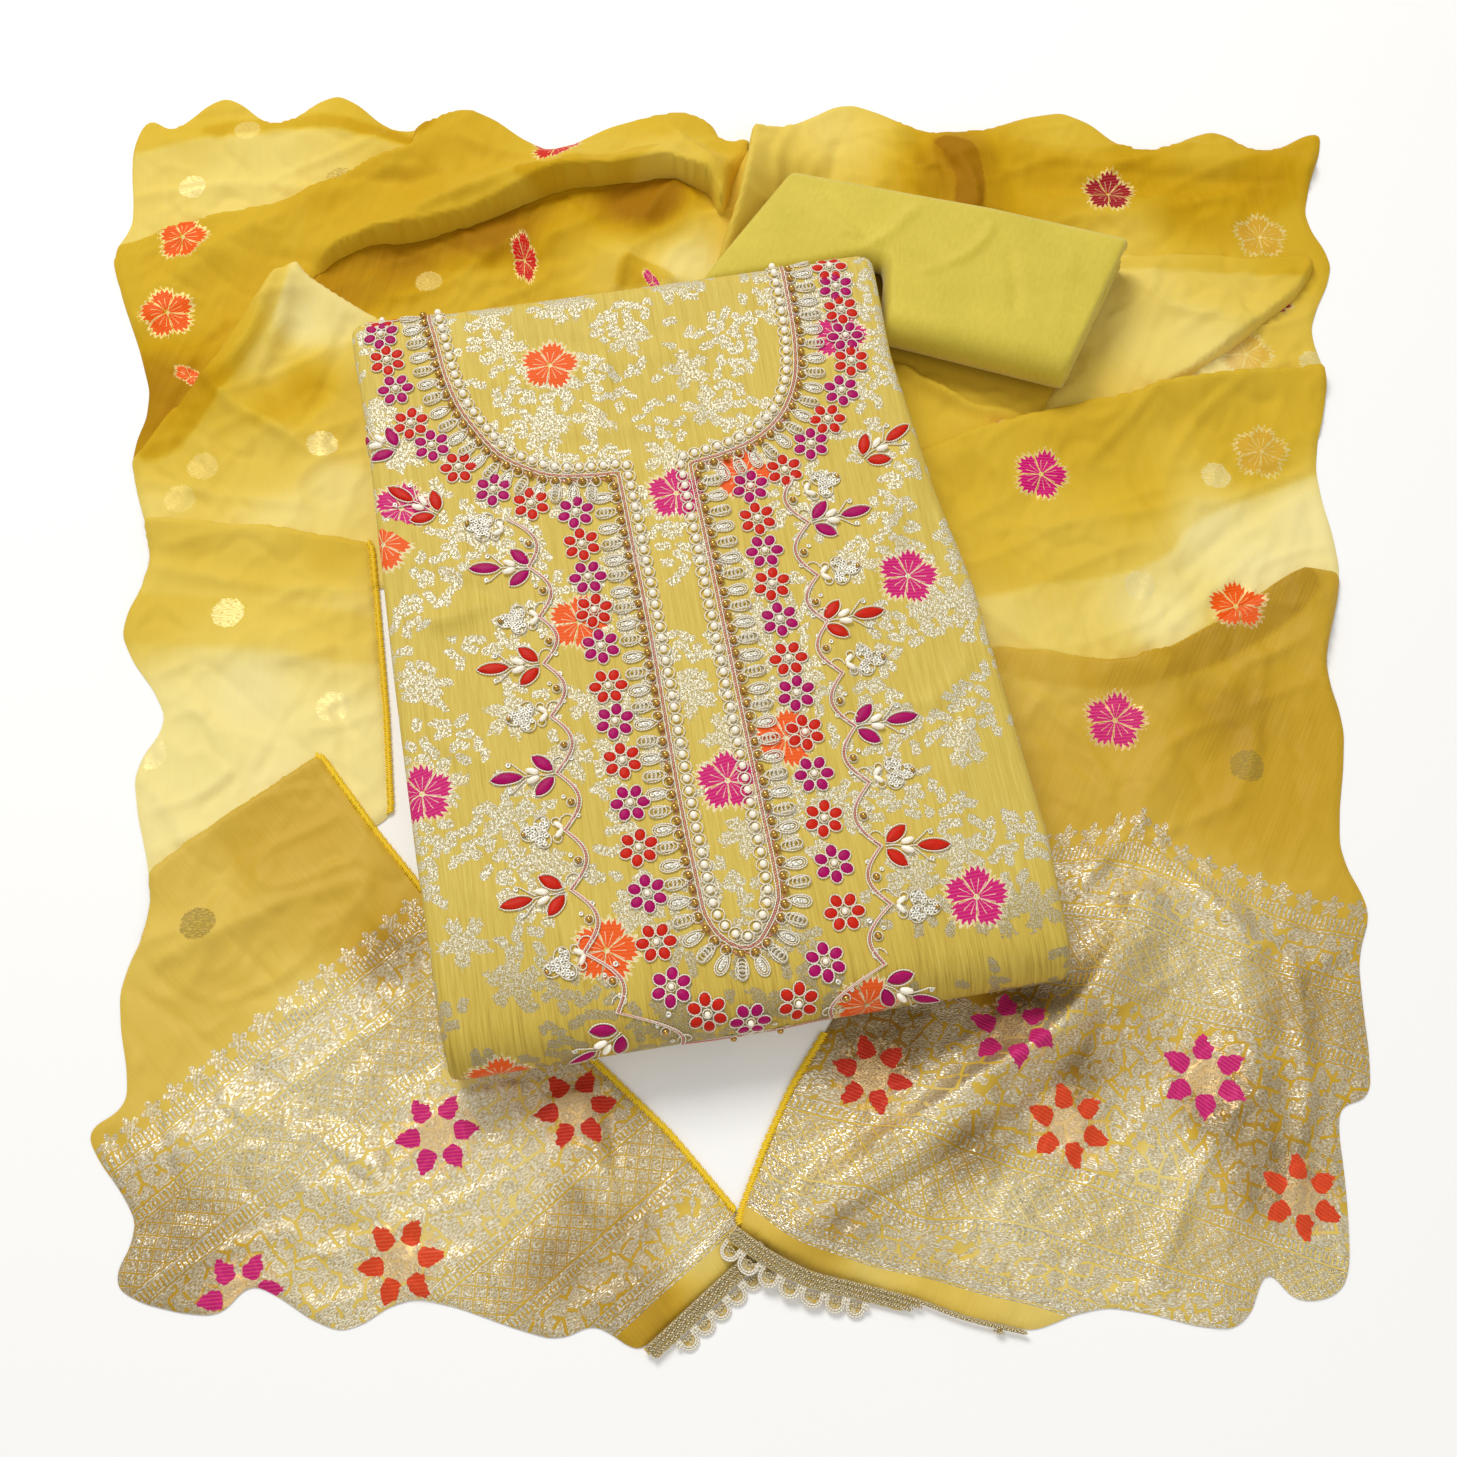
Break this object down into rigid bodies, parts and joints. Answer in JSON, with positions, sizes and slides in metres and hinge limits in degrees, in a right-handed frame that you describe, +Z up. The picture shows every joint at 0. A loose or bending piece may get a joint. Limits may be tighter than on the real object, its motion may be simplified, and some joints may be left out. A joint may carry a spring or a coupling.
{
  "type": "salwar kameez suit",
  "caption": "Yellow salwar kameez suit laid out as a set: brocade kameez folded with its embroidered neck on top, plain folded salwar beside it, sheer zari dupatta spread in folds round both.",
  "frame": {"origin": "on the table, under the middle of the laid-out set", "axes": "+X right, +Y away from the viewer, +Z up; the two woven end pieces of the dupatta lie towards -Y"},
  "size_m": [0.7422, 0.751, 0.0468],
  "materials": {
    "dupatta_cloth": "sheer silk with a soft sheen",
    "pallu_brocade": "sheer silk woven with pale metallic thread",
    "lace": "silver and gold metallic lace",
    "kameez_brocade": "slub silk brocade with metallic thread",
    "kameez_layers": "folded silk, matt",
    "salwar_cloth": "plain, softly creased",
    "hem_thread": "overlocked thread",
    "zari_cord": "twisted metallic cord",
    "magenta_thread": "satin thread",
    "red_thread": "satin thread",
    "pearl": "pearly",
    "gold_bead": "antique gold",
    "sequin": "silvery, shiny"
  },
  "bodies": {
    "root": {"dupatta_corner": "dupatta_cloth", "dupatta_back": "dupatta_cloth", "dupatta_back_left": "dupatta_cloth", "dupatta_shoulder": "dupatta_cloth", "dupatta_left_panel": "dupatta_cloth", "dupatta_left_pallu": "pallu_brocade", "dupatta_left_lace": "lace", "dupatta_back_right": "dupatta_cloth", "dupatta_right_flap": "dupatta_cloth", "dupatta_right_middle": "dupatta_cloth", "dupatta_right_pallu": "pallu_brocade", "dupatta_right_lace": "lace", "salwar_layers": "salwar_cloth", "salwar_outer": "salwar_cloth", "kameez_layers": "kameez_layers", "kameez_front": "kameez_brocade"}
  },
  "joints": []
}
